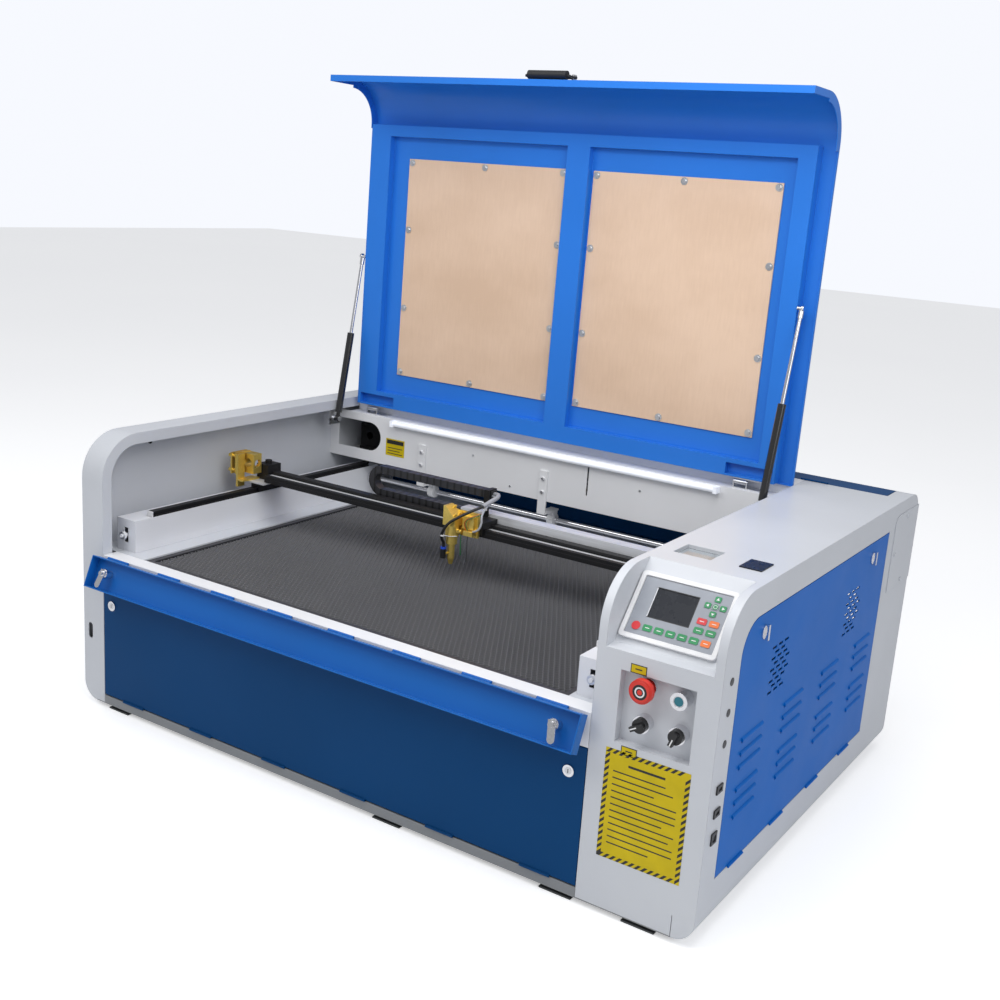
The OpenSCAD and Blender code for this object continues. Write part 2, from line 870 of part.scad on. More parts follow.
module strut_brackets() {
  // left bracket is screwed behind the rim fold, right one to the cabinet side
  box([rim_w - 5, 705, 520], [rim_w - 2, 745, 575]);
  bar_x(rim_w - 5, xl + 8, strut_base_l[0], strut_base_l[1], 4);
  bar_x(rim_w - 3, xl - 5.3, strut_base_l[0], strut_base_l[1], 6);
  bar_x(xl + 5.3, xl + 8, strut_base_l[0], strut_base_l[1], 6);
  box([cab_x - 3, 675, 516], [cab_x, 733, 560]);
  bar_x(xr - 8, cab_x - 1, strut_base_r[0], strut_base_r[1], 4);
  bar_x(xr + 5.3, cab_x - 1, strut_base_r[0], strut_base_r[1], 6);
  bar_x(xr - 8, xr - 5.3, strut_base_r[0], strut_base_r[1], 6);
}

// ------------------------------------------------------------------ doors and flap
hinge_y = -3;
hinge_z = 332;

// flap drawn closed and upright, then hung down
module flap_place() {
  place() translate([0, hinge_y, hinge_z]) rotate([180 - flap_hang, 0, 0]) children();
}

flap_x0 = rim_w + 1;
flap_x1 = cab_x - 3;
module flap() {
  color("dodgerblue") flap_place() {
    difference() {
      box([flap_x0, 3, 2], [flap_x1, 3 + flap_t, flap_h + 2]);
      box([flap_x0 + sheet, 3 + sheet, 2 + sheet], [flap_x1 - sheet, 30, flap_h + 2 - sheet]);
      for (x = [flap_x0 + 45, flap_x1 - 45]) bar_y(0, 10, x, 32, 8.05);
    }
    // hinge knuckles
    for (k = [0:7]) {
      x = flap_x0 + 20 + k * 150;
      bar_x(x, x + 60, 0, 0, 2.4);
      box([x, 0, 1.1], [x + 60, 4, 3.6]);
    }
  }
}

module flap_lock(x, a) {
  flap_place() translate([x, 0, 32]) {
    bar_y(1.5, 27, 0, 0, 8);
    bar_y(1.5, 2.9, 0, 0, 10);
    bar_y(19, 24, 0, 0, 10);
    rotate([0, a, 0]) {
      box([-7, 26, -8], [7, 28.5, 24]);
      bar_y(26, 28.5, 0, 24, 7);
      bar_y(26, 33, 0, 0, 5);
    }
  }
}

module flap_lock_left() {
  color("silver") flap_lock(flap_x0 + 45, -12);
}
module flap_lock_right() {
  color("silver") flap_lock(flap_x1 - 45, 12);
}

module front_door() {
  xa = rim_w + 1.5;
  xb = cab_x - 1.5;
  color("steelblue") place() {
    difference() {
      box([xa, 0, 22], [xb, 16, door_top]);
      box([xa + sheet, sheet, 24], [xb - sheet, 20, door_top - sheet]);
      for (p = [[90, 227], [1203, 222]]) bar_y(-1, 5, p[0], p[1], 9.05);
    }
    for (k = [0:5]) {
      x = xa + 60 + k * 200;
      bar_x(x, x + 60, -2, 20.5, 1.8);
      box([x, -2, 20.5], [x + 60, 0.5, 23.5]);
    }
  }
}

module door_lock(x, z) {
  place() translate([x, 0, z]) {
    bar_y(-1.5, 27, 0, 0, 9);
    bar_y(-2.5, -0.1, 0, 0, 10.5);
    box([-8, 27, -22], [8, 30, 8]);
  }
}

module door_lock_left() {
  color("silver") door_lock(90, 227);
}
module door_lock_right() {
  color("silver") door_lock(1203, 222);
}

module side_door() {
  color("steelblue") place() {
    difference() {
      along_x(body_w - 14, body_w) side_door_shape(0);
      along_x(body_w - 15, body_w - sheet) intersection() {
        side_door_shape(-2);
        translate([64, 94]) square([724, 424]);
      }
      // round vents made of short slots
      for (c = [[232, 405], [602, 404]]) {
        for (i = [-5:5]) {
          for (j = [-1:1]) {
            y = c[0] + j * 26 + (i % 2 == 0 ? 0 : 13);
            z = c[1] + i * 10;
            if (norm([y - c[0], z - c[1]]) < 48) {
              box([body_w - 5, y - 9, z - 2.2], [body_w + 1, y + 9, z + 2.2]);
            }
          }
        }
      }
      // pressed air slots
      for (y = [148, 331, 517, 704]) {
        for (z = [292, 205]) {
          for (k = [-1:1]) box([body_w - 5, y - 42, z + k * 24 - 5], [body_w + 1, y + 42, z + k * 24 - 1]);
        }
      }
      for (y = [145, 694]) bar_x(body_w - 4, body_w + 1, y, 489, 8.05);
    }
    for (y = [148, 331, 517, 704]) {
      for (z = [292, 205]) {
        for (k = [-1:1]) {
          translate([body_w, y, z + k * 24]) difference() {
            bar_y(-44, 44, -2.5, 0, 6);
            box([-8, -50, -8], [-0.5, 50, 8]);
            bar_y(-43, 43, -2.5, -1.5, 4.5);
            box([-8, -50, -9], [8, 50, -1]);
          }
        }
      }
    }
    for (k = [0:3]) {
      y = 110 + k * 180;
      bar_y(y, y + 60, body_w + 2, 90.5, 1.8);
      box([body_w - 0.5, y, 90.5], [body_w + 2, y + 60, 93.5]);
    }
  }
}

module side_latch(y) {
  place() translate([body_w, y, 489]) {
    bar_x(-16, 1, 0, 0, 8);
    bar_x(0.05, 3, 0, 0, 12);
    box([3, -3, -13], [9, 3, 13]);
    box([-18, -7, -6], [-15.9, 7, 24]);
  }
}

module side_latch_front() {
  color("silver") side_latch(145);
}
module side_latch_rear() {
  color("silver") side_latch(694);
}

module tube_cover() {
  xa = rim_w + 2;
  xb = 1410;
  color("steelblue") place() {
    difference() {
      intersection() {
        along_x(xa, xb) side_view(0, cab_h);
        box([xa, 882, 437.5], [xb, body_d + 1, cab_h + 1]);
      }
      intersection() {
        along_x(xa - 1, xb + 1) side_view(sheet, cab_h);
        box([xa - 1, 870, 400], [xb + 1, body_d + 1, cab_h + 1]);
      }
      for (k = [0:3]) bar_y(body_d - 5, body_d + 1, 260 + k * 320, 480, 12);
    }
    for (k = [0:5]) {
      x = xa + 60 + k * 220;
      bar_x(x, x + 60, 880.5, cab_h + 2, 1.8);
      box([x, 880.5, cab_h - 0.5], [x + 60, 883, cab_h + 2]);
    }
  }
}

module pass_flap() {
  color("steelblue") place() {
    difference() {
      box([rim_w + 2, body_d - 12, sill_h + 2], [cab_x - 2, body_d, 425]);
      box([rim_w + 4, body_d - 13, sill_h + 4], [cab_x - 4, body_d - sheet, 423]);
    }
    for (k = [0:5]) {
      x = 130 + k * 200;
      bar_x(x, x + 60, body_d + 2, sill_h, 1.8);
      box([x, body_d - 0.5, sill_h], [x + 60, body_d + 2, sill_h + 3]);
    }
  }
}

// ------------------------------------------------------------------ gantry
bx0 = 118;
bx1 = 1172;
y_b = beam_y - 440;

module gantry() {
  place() translate([0, y_b, 0]) children();
}

module x_beam() {
  color("silver") gantry() {
    difference() {
      box([bx0, 418, 430], [bx1, 461, 440]);
      box([bx0 + 60, 426, 428], [bx1 - 60, 453, 437]);
    }
    box([bx0, 427, 439], [bx1, 443, 444.5]);
    // end plates on the carriages
    for (x = [62, 1150]) box([x, 405, 426], [x + 65, 492, 430]);
    // guide channel that the lower run of the cable chain slides in
    difference() {
      box([640, 464, 444], [1150, 494, 469]);
      box([639, 466, 446.5], [1151, 492, 467]);
    }
    for (x = [660, 900, 1120]) {
      box([x, 458, 430], [x + 20, 494, 439.8]);
      box([x, 462.2, 439], [x + 20, 494, 444.2]);
    }
  }
}

module beam_rails() {
  color("black") gantry() {
    box([bx0 + 2, 415.5, 440], [bx1 - 2, 427, 447]);
    difference() {
      box([bx0 + 2, 443, 440], [bx1 - 2, 462, 452]);
      box([bx0, 441, 444], [bx1, 445, 448]);
    }
    box([bx0 + 2, 414.5, 431], [bx1 - 2, 418, 440]);
  }
}

module beam_carriages() {
  color("black") gantry() {
    for (x = [90, 1187]) {
      difference() {
        box([x - 14, 418, 405], [x + 14, 480, 426]);
        box([x - 7.8, 410, 400], [x + 7.8, 490, 414.3]);
      }
    }
    // step motor under the left end of the beam and the idler at the right
    box([76, 436, 430], [112, 478, 466]);
    bar_z(466, 474, 94, 456, 8);
    box([1172.2, 420, 430], [1190, 458, 452]);
    // limit flag
    box([100, 478, 405], [106, 492, 421]);
  }
}

module mirror_two() {
  color("goldenrod") gantry() {
    box([62, 382, 416], [68, 404, 492]);
    box([44, 382, 444], [48, 432, 494]);
    box([54, 386, 444], [58, 432, 494]);
    difference() {
      box([58, 408, 446], [92, 434, 492]);
      bar_y(400, 440, 74, beam_z, 11);
      bar_x(70, 99, 421, beam_z, 9);
    }
    for (p = [[388, 452], [388, 486], [426, 486]]) {
      bar_x(34, 60, p[0], p[1], 2);
      bar_x(36, 44, p[0], p[1], 4.5);
      bar_x(48, 54, p[0], p[1], 4);
    }
    box([62, 382, 430], [84, 436, 434]);
    box([62, 400, 416], [68, 404, 446]);
  }
}

chain_x0 = 386;
chain_h = 16;
module cable_chain() {
  // the loop of the cable chain and its lower run, which slides in the guide channel
  color("dimgray") gantry() {
    box([chain_x0 + 33, 468, 448.5], [925, 490, 448.5 + chain_h]);
    translate([chain_x0 + 33, 468, 482.25]) rotate([-90, 0, 0]) difference() {
      cylinder(h = 22, r = 33.75);
      translate([0, 0, -1]) cylinder(h = 24, r = 33.75 - chain_h);
      translate([0, -50, -1]) cube([60, 100, 26]);
    }
  }
}

module chain_upper() {
  // upper run of the chain, between the loop and the head
  color("dimgray") gantry() {
    box([chain_x0 + 33.5, 468, 500], [head_x + 32, 490, 500 + chain_h]);
  }
}

module head() {
  place() translate([head_x - 680, y_b, 0]) children();
}

module head_carriage() {
  color("black") head() {
    // sliding shoe over the front rail and the rear rail
    difference() {
      box([655, 408, 447.5], [735, 463.4, 462]);
      box([650, 442.5, 446], [740, 464, 452.5]);
    }
    box([655, 408, 436], [735, 413.8, 450]);
    // arm up to the moving end of the chain
    box([700, 459, 461], [712, 463.4, 519]);
    box([700, 459, 516.8], [712, 489, 519]);
  }
}

module head_block() {
  color("goldenrod") head() {
    // plate on the carriage
    box([659, 402, 430], [728, 408, 482]);
    box([694, 394, 448], [722, 402.1, 474]);
    // slanted housing of the third mirror
    difference() {
      translate([659, 402.1, 452]) rotate([90, 0, 0]) linear_extrude(28.1)
        polygon([[0, 0], [30, 0], [30, 16], [5, 41], [0, 41]]);
      bar_x(650, 676, 388, beam_z, 7);
      bar_z(440, 472, 674, 388, 8);
      bar_z(440, 458, 674, 388, 12.1);
    }
    // adjusting screws, square to the slanted side
    for (p = [[670, 396, 487], [683, 396, 474], [683, 381, 474]]) {
      translate(p) rotate([0, 45, 0]) translate([0, 0, -2]) cylinder(h = 9, r = 2.6);
    }
    // collar that holds the lens tube
    difference() {
      bar_z(430, 452.1, 674, 388, 14.5);
      bar_z(420, 460, 674, 388, 12.05);
    }
    box([668, 401, 430], [680, 403, 452]);
    // knurled clamp screw
    bar_x(687, 698, 388, 441, 5);
    // sensor arm
    box([690, 397, 436], [726, 402.1, 449]);
    box([704, 384, 436], [726, 402.1, 446]);
  }
}

hose_fit = [663, 375.5];
hose_path = [[713, 479, 508], [724, 476, 509], [731, 462, 507], [731, 440, 503], [728, 415, 496], [716, 393, 488],
  [698, 374, 475], [682, 365, 462], [671, 362, 446], [664.5, 364, 431], [663, 370.5, 420], [663, 375.5, 412.5],
  [663, 375.5, 395]];

module lens_tube() {
  color("gold") head() {
    difference() {
      union() {
        bar_z(412, 450, 674, 388, 12);
        bar_z(380, 412.1, 674, 388, 7.5);
        translate([674, 388, 368]) cylinder(h = 12.1, r1 = 4, r2 = 7.5);
        // push-in fitting of the air hose
        bar_z(382, 403, hose_fit[0], hose_fit[1], 5.7);
        bar_y(377, 385, 668, 391, 2.8);
      }
      bar_z(360, 455, 674, 388, 2);
      bar_z(400, 455, 674, 388, 5.5);
      bar_z(416, 455, 674, 388, 9);
      bar_z(386, 404, hose_fit[0], hose_fit[1], 3.8);
    }
  }
}

// a round bar from point p to point q
module link(p, q, r) {
  d = q - p;
  translate(p) rotate([0, acos(d[2] / norm(d)), atan2(d[1], d[0])]) cylinder(h = norm(d), r = r);
}

module head_hoses() {
  color("black") head() {
    // air hose from the chain end across the head and down into the fitting
    for (k = [0:len(hose_path) - 2]) link(hose_path[k], hose_path[k + 1], 3);
    // short sleeves over the bends
    for (k = [1:len(hose_path) - 2]) {
      a = (hose_path[k] - hose_path[k - 1]) / norm(hose_path[k] - hose_path[k - 1]);
      b = (hose_path[k + 1] - hose_path[k]) / norm(hose_path[k + 1] - hose_path[k]);
      m = (a + b) / norm(a + b);
      link(hose_path[k] - 2.2 * m, hose_path[k] + 2.2 * m, 3.7);
    }
  }
}

module sync_shaft() {
  color("silver") place() {
    difference() {
      union() {
        bar_x(52, 1225, shaft_y, shaft_z, 6);
        for (x = [60, 1190]) bar_x(x, x + 24, shaft_y, shaft_z, 13);
        for (x = [99.5, 1160]) bar_x(x, x + 14, shaft_y, shaft_z, 14.5);
      }
    }
  }
}

// ------------------------------------------------------------------ bed
module bed_frame() {
  color("dimgray") place() {
    difference() {
      box([bed_x0 + 0.3, 36.3, 306], [bed_x1 - 0.3, bed_y1 - 0.3, 330]);
      box([bed_x0 + 14, 52, 310], [bed_x1 - 14, bed_y1 - 14, 331]);
      box([bed_x0 + 24, 62, 300], [bed_x1 - 24, bed_y1 - 24, 331]);
    }
    for (x = [400, 658, 916]) box([x - 8, 50, 296], [x + 8, bed_y1 - 12, 310]);
  }
}

module bed_honeycomb() {
  color("silver") place() {
    box([bed_x0 + 14.2, 52.2, 310.05], [bed_x1 - 14.2, bed_y1 - 14.2, 329.5]);
  }
}

left_wall();
base_pan();
sill();
inner_deck();
cabinet_shell();
rear_housing();
service_cover();
rail_boxes();
y_rails();
shaft_supports();
laser_tube();
tube_clamps();
mirror_one();
electronics();
exhaust_spigot();
water_barbs();
led_bar();
hmi_bezel();
hmi_panel();
displays();
control_collars();
top_window();
ports();
lid_supports();
bed_frame();
bed_honeycomb();
lid_shell();
lid_windows();
lid_fittings();
lid_bail();
strut_left();
strut_right();
rod_left();
rod_right();
flap();
flap_lock_left();
flap_lock_right();
front_door();
door_lock_left();
door_lock_right();
side_door();
side_latch_front();
side_latch_rear();
tube_cover();
pass_flap();
x_beam();
beam_rails();
beam_carriages();
mirror_two();
cable_chain();
chain_upper();
head_carriage();
head_block();
lens_tube();
head_hoses();
sync_shaft();
estop_button();
push_button();
selector_left();
selector_right();
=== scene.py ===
import json
import math
import random

import bmesh
import bpy
from mathutils import Matrix, Vector


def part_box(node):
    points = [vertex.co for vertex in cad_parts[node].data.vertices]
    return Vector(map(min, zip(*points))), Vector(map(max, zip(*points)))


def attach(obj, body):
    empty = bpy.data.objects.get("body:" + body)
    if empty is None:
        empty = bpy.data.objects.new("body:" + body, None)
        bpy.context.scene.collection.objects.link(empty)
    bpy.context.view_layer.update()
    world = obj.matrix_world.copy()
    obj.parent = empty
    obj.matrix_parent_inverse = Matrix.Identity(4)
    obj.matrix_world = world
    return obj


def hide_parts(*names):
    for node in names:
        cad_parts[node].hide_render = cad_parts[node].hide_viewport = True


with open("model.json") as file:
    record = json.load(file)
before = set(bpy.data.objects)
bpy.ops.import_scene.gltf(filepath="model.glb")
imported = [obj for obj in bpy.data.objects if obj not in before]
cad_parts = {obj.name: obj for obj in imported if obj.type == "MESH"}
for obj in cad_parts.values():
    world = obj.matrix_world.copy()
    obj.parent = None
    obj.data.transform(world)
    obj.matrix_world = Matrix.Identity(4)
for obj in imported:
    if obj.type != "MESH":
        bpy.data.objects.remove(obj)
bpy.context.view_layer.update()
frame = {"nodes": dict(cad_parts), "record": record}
nodes = frame["nodes"]
rng = random.Random(7)

# the row frame's origin, in millimetres from the body's front left lower corner
OX, OY, OZ = 725.0, 491.5, -10.0


def at(x, y, z):
    """A point given in millimetres from the body's front left lower corner."""
    return Vector(((x - OX) / 1000, (y - OY) / 1000, (z - OZ) / 1000))


# ---------------------------------------------------------------- materials
FINE_RELIEF = 0.0003


def new_mat(name):
    """A material with one Principled shader; gives its tree, that shader and its coordinates."""
    m = bpy.data.materials.new(name)
    m.use_nodes = True
    nt = m.node_tree
    nt.nodes.clear()
    out = nt.nodes.new("ShaderNodeOutputMaterial")
    bsdf = nt.nodes.new("ShaderNodeBsdfPrincipled")
    nt.links.new(bsdf.outputs["BSDF"], out.inputs["Surface"])
    coord = nt.nodes.new("ShaderNodeTexCoord")
    return m, nt, bsdf, coord


def noise(nt, coord, scale, detail=3.0, stretch=None):
    """Noise in object space, from 0 to 1, drawn out along an axis by a stretch below 1."""
    n = nt.nodes.new("ShaderNodeTexNoise")
    n.inputs["Scale"].default_value = scale
    n.inputs["Detail"].default_value = detail
    if stretch:
        mp = nt.nodes.new("ShaderNodeMapping")
        mp.inputs["Scale"].default_value = stretch
        nt.links.new(coord.outputs["Object"], mp.inputs["Vector"])
        nt.links.new(mp.outputs["Vector"], n.inputs["Vector"])
    else:
        nt.links.new(coord.outputs["Object"], n.inputs["Vector"])
    return n.outputs["Fac"]


def ramp(nt, fac, lo, hi, low=0.35, high=0.65):
    """Colour lo where fac is under low, hi where it is over high."""
    r = nt.nodes.new("ShaderNodeValToRGB")
    r.color_ramp.elements[0].position = low
    r.color_ramp.elements[0].color = (*lo, 1)
    r.color_ramp.elements[1].position = high
    r.color_ramp.elements[1].color = (*hi, 1)
    nt.links.new(fac, r.inputs["Fac"])
    return r.outputs["Color"]


def span(nt, fac, lo, hi):
    """The middle of a noise spread over lo to hi."""
    m = nt.nodes.new("ShaderNodeMapRange")
    m.inputs["From Min"].default_value = 0.3
    m.inputs["From Max"].default_value = 0.7
    m.inputs["To Min"].default_value = lo
    m.inputs["To Max"].default_value = hi
    nt.links.new(fac, m.inputs["Value"])
    return m.outputs["Result"]


def bump(nt, height, strength, distance, normal=None):
    b = nt.nodes.new("ShaderNodeBump")
    b.inputs["Strength"].default_value = strength
    b.inputs["Distance"].default_value = distance
    nt.links.new(height, b.inputs["Height"])
    if normal is not None:
        nt.links.new(normal, b.inputs["Normal"])
    return b.outputs["Normal"]


def bevel(nt, radius):
    """A normal that rounds the edges of the solid."""
    b = nt.nodes.new("ShaderNodeBevel")
    b.samples = 4
    b.inputs["Radius"].default_value = radius
    return b.outputs["Normal"]


def tone(c, k):
    """Colour c made k times as bright."""
    return tuple(min(1.0, x * k) for x in c)


def paint(name, color, rough=0.38, coat=0.15, edge=0.0014, vary=0.035, peel=0.06, gloss=0.5):
    """Sprayed or powder paint, with a little orange peel."""
    m, nt, b, co = new_mat(name)
    b.inputs["Specular IOR Level"].default_value = gloss
    col = ramp(nt, noise(nt, co, 3.5, 4), tone(color, 1 - vary), tone(color, 1 + vary))
    nt.links.new(col, b.inputs["Base Color"])
    nt.links.new(span(nt, noise(nt, co, 9, 4), rough - 0.03, rough + 0.04), b.inputs["Roughness"])
    b.inputs["Coat Weight"].default_value = coat
    b.inputs["Coat Roughness"].default_value = 0.2
    n = bump(nt, noise(nt, co, 900, 2), peel, FINE_RELIEF, bevel(nt, edge))
    nt.links.new(n, b.inputs["Normal"])
    return m


def metal(name, color, rough=0.3, brushed=(1, 1, 1), edge=0.0004, vary=0.05, metallic=1.0):
    """Bare or anodised metal; brushed draws its grain out along an axis."""
    m, nt, b, co = new_mat(name)
    b.inputs["Metallic"].default_value = metallic
    grain = noise(nt, co, 260, 3, brushed)
    nt.links.new(ramp(nt, grain, tone(color, 1 - vary), tone(color, 1 + vary)), b.inputs["Base Color"])
    nt.links.new(span(nt, noise(nt, co, 30, 4), rough * 0.8, rough * 1.25), b.inputs["Roughness"])
    n = bump(nt, grain, 0.05, FINE_RELIEF, bevel(nt, edge))
    nt.links.new(n, b.inputs["Normal"])
    return m


def plastic(name, color, rough=0.4, grain=700, strength=0.08, edge=0.0005, vary=0.06, gloss=0.5):
    """Moulded plastic, printed film or rubber."""
    m, nt, b, co = new_mat(name)
    b.inputs["Specular IOR Level"].default_value = gloss
    col = ramp(nt, noise(nt, co, 25, 4), tone(color, 1 - vary), tone(color, 1 + vary))
    nt.links.new(col, b.inputs["Base Color"])
    nt.links.new(span(nt, noise(nt, co, 60, 3), rough - 0.04, rough + 0.06), b.inputs["Roughness"])
    n = bump(nt, noise(nt, co, grain, 2), strength, FINE_RELIEF, bevel(nt, edge))
    nt.links.new(n, b.inputs["Normal"])
    return m


def clear(name, tint, rough=0.03):
    """Clear glass or acrylic."""
    m, nt, b, co = new_mat(name)
    nt.links.new(ramp(nt, noise(nt, co, 6, 2), tone(tint, 0.97), tint), b.inputs["Base Color"])
    b.inputs["Transmission Weight"].default_value = 1.0
    b.inputs["IOR"].default_value = 1.46
    nt.links.new(span(nt, noise(nt, co, 20, 3), rough, rough + 0.03), b.inputs["Roughness"])
    return m


def glow(name, color, strength):
    """A lamp's diffuser, which gives off a little light."""
    m, nt, b, co = new_mat(name)
    nt.links.new(ramp(nt, noise(nt, co, 12, 2), tone(color, 0.96), color), b.inputs["Base Color"])
    nt.links.new(ramp(nt, noise(nt, co, 12, 2), tone(color, 0.9), color), b.inputs["Emission Color"])
    b.inputs["Emission Strength"].default_value = strength
    return m


def paper(name):
    """Brown protective paper, with clouding and faint upright fibres."""
    m, nt, b, co = new_mat(name)
    base = noise(nt, co, 5, 5, (1, 1, 1.6))
    fibre = noise(nt, co, 240, 6, (1, 1, 0.12))
    mix = nt.nodes.new("ShaderNodeMath")
    mix.operation = "MULTIPLY_ADD"
    nt.links.new(fibre, mix.inputs[0])
    mix.inputs[1].default_value = 0.35
    nt.links.new(base, mix.inputs[2])
    col = ramp(nt, mix.outputs[0], (0.71, 0.50, 0.35), (0.81, 0.59, 0.43), 0.45, 0.9)
    nt.links.new(col, b.inputs["Base Color"])
    b.inputs["Roughness"].default_value = 0.62
    nt.links.new(bump(nt, noise(nt, co, 7, 3), 0.12, 0.003), b.inputs["Normal"])
    return m


M = {
    "grey_paint": paint("grey_paint", (0.60, 0.62, 0.655), 0.36, 0.08),
    "white_paint": paint("white_paint", (0.82, 0.825, 0.84), 0.38, 0.08),
    "blue_paint": paint("blue_paint", (0.001, 0.052, 0.170), 0.42, 0.0, gloss=0.10),
    "lid_blue": paint("lid_blue", (0.022, 0.19, 0.66), 0.34, 0.1, gloss=0.3),
    "rail_grey": paint("rail_grey", (0.77, 0.78, 0.81), 0.36, 0.05),
    "black_metal": paint("black_metal", (0.010, 0.010, 0.011), 0.48, 0.0, 0.0006, gloss=0.3),
    "bare_aluminium": metal("bare_aluminium", (0.80, 0.81, 0.83), 0.42, (0.05, 1, 1), metallic=0.5),
    "bright_steel": metal("bright_steel", (0.78, 0.78, 0.80), 0.10),
    "zinc_steel": metal("zinc_steel", (0.66, 0.67, 0.69), 0.32),
    "gold_anodised": metal("gold_anodised", (0.88, 0.65, 0.16), 0.34, edge=0.0006, metallic=0.85),
    "strut_black": paint("strut_black", (0.010, 0.010, 0.011), 0.16, 0.6, 0.0004, 0.03, 0.02),
    "black_plastic": plastic("black_plastic", (0.012, 0.012, 0.013), 0.33),
    "chain_plastic": plastic("chain_plastic", (0.016, 0.016, 0.018), 0.45, gloss=0.3),
    "white_plastic": plastic("white_plastic", (0.78, 0.78, 0.79), 0.38, edge=0.002),
    "key_film": plastic("key_film", (0.29, 0.31, 0.35), 0.42, 400, 0.03),
    "screen_glass": plastic("screen_glass", (0.010, 0.013, 0.020), 0.28, 300, 0.01, gloss=0.25),
    "red_plastic": plastic("red_plastic", (0.72, 0.035, 0.02), 0.34, edge=0.003),
    "teal_plastic": plastic("teal_plastic", (0.015, 0.16, 0.21), 0.32),
    "clear_acrylic": clear("clear_acrylic", (0.93, 0.96, 0.97)),
    "tube_glass": clear("tube_glass", (0.93, 0.98, 0.98)),
    "brown_paper": paper("brown_paper"),
    "rubber_black": plastic("rubber_black", (0.010, 0.010, 0.011), 0.5),
    "lamp_white": glow("lamp_white", (0.90, 0.93, 1.0), 0.25),
    "brass": metal("brass", (0.72, 0.50, 0.20), 0.28),
    "bed_dark": paint("bed_dark", (0.035, 0.035, 0.04), 0.45, 0.05),
}


def two_tone(name, axis, limit, low, high, rough_low=0.4, rough_high=0.36):
    """Paint that changes from low to high colour where the object passes limit along one axis."""
    m, nt, b, co = new_mat(name)
    split = nt.nodes.new("ShaderNodeSeparateXYZ")
    nt.links.new(co.outputs["Object"], split.inputs[0])
    step = nt.nodes.new("ShaderNodeMath")
    step.operation = "GREATER_THAN"
    nt.links.new(split.outputs[axis], step.inputs[0])
    step.inputs[1].default_value = limit
    mix = nt.nodes.new("ShaderNodeMix")
    mix.data_type = "RGBA"
    nt.links.new(step.outputs[0], mix.inputs["Factor"])
    grain = noise(nt, co, 9, 4)
    nt.links.new(ramp(nt, grain, tone(low, 0.92), tone(low, 1.08)), mix.inputs["A"])
    nt.links.new(ramp(nt, grain, tone(high, 0.97), tone(high, 1.03)), mix.inputs["B"])
    nt.links.new(mix.outputs["Result"], b.inputs["Base Color"])
    rough = nt.nodes.new("ShaderNodeMapRange")
    rough.inputs["To Min"].default_value = rough_low
    rough.inputs["To Max"].default_value = rough_high
    nt.links.new(step.outputs[0], rough.inputs["Value"])
    nt.links.new(rough.outputs["Result"], b.inputs["Roughness"])
    n = bump(nt, noise(nt, co, 900, 2), 0.05, FINE_RELIEF, bevel(nt, 0.0012))
    nt.links.new(n, b.inputs["Normal"])
    return m


LINKS_SCALE = 17.5  # bands of the wave texture, one to a chain link


def chain_look(name):
    """Dark moulded chain, its link gaps along X darkened as painted shade."""
    m, nt, b, co = new_mat(name)
    wave = nt.nodes.new("ShaderNodeTexWave")
    wave.wave_type = "BANDS"
    wave.bands_direction = "X"
    wave.inputs["Scale"].default_value = LINKS_SCALE
    wave.inputs["Distortion"].default_value = 0
    nt.links.new(co.outputs["Object"], wave.inputs["Vector"])
    # the thin near-black bands are painted shade in the gaps between the links
    col = ramp(nt, wave.outputs["Fac"], (0.003, 0.003, 0.003), (0.022, 0.022, 0.025), 0.10, 0.24)
    nt.links.new(col, b.inputs["Base Color"])
    nt.links.new(span(nt, noise(nt, co, 40, 3), 0.35, 0.45), b.inputs["Roughness"])
    nt.links.new(bump(nt, wave.outputs["Fac"], 0.5, 0.0016), b.inputs["Normal"])
    return m


slot_of = {r["node"]: r["material_slot"] for r in frame["record"]["subparts"]}
for name, o in nodes.items():
    o.data.materials.clear()
    o.data.materials.append(M[slot_of[name]])

# pieces whose look differs a little from the rest of their slot, some by painted light or shade; the feet
# under the pan are bare steel
FOOT_HEIGHT = 0.0098
own_look = {
    # the pan above the feet is painted a darker grey as painted shade
    "base_pan": two_tone("pan_painted_shade_and_feet", "Z", FOOT_HEIGHT, (0.055, 0.06, 0.062), (0.24, 0.25, 0.26)),
    # the side door: a brighter copy of the door blue, as painted light on the body's side
    "side_door": paint("side_blue_painted_light", (0.001, 0.135, 0.53), 0.40, 0.0, gloss=0.12),
    # the flap: a darker copy of the lid blue, as painted shade on the hanging flap
    "flap": paint("flap_blue_painted_shade", (0.006, 0.13, 0.47), 0.36, 0.1, gloss=0.3),
    "lid_shell": paint("lid_skin_blue", (0.020, 0.19, 0.70), 0.34, 0.1, gloss=0.3),
    "cable_chain": chain_look("cable_chain_gap_shade"),
    "chain_upper": chain_look("chain_upper_gap_shade"),
}
for name, look in own_look.items():
    nodes[name].data.materials[0] = look

# ---------------------------------------------------------------- stage
FLOOR = 14  # half its side, in metres
FLOOR_LIFT = 0.42  # how far the floor is lifted to white where the camera sees it
WORLD_LIGHT = 0.43
floor_mesh = bpy.data.meshes.new("floor")
floor_mesh.from_pydata([(-FLOOR, -FLOOR, 0), (FLOOR, -FLOOR, 0), (FLOOR, FLOOR, 0), (-FLOOR, FLOOR, 0)],
                       [], [(0, 1, 2, 3)])
floor = bpy.data.objects.new("floor", floor_mesh)
bpy.context.scene.collection.objects.link(floor)
fm, fnt, fb, fco = new_mat("floor_pale")
pale = ramp(fnt, noise(fnt, fco, 0.6, 3), (0.86, 0.865, 0.875), (0.88, 0.885, 0.89))
fnt.links.new(pale, fb.inputs["Base Color"])
fb.inputs["Roughness"].default_value = 0.7
fb.inputs["Emission Color"].default_value = (1, 1, 1, 1)
lift = fnt.nodes.new("ShaderNodeMath")
lift.operation = "MULTIPLY"
fnt.links.new(fnt.nodes.new("ShaderNodeLightPath").outputs["Is Camera Ray"], lift.inputs[0])
lift.inputs[1].default_value = FLOOR_LIFT
fnt.links.new(lift.outputs[0], fb.inputs["Emission Strength"])
floor.data.materials.append(fm)

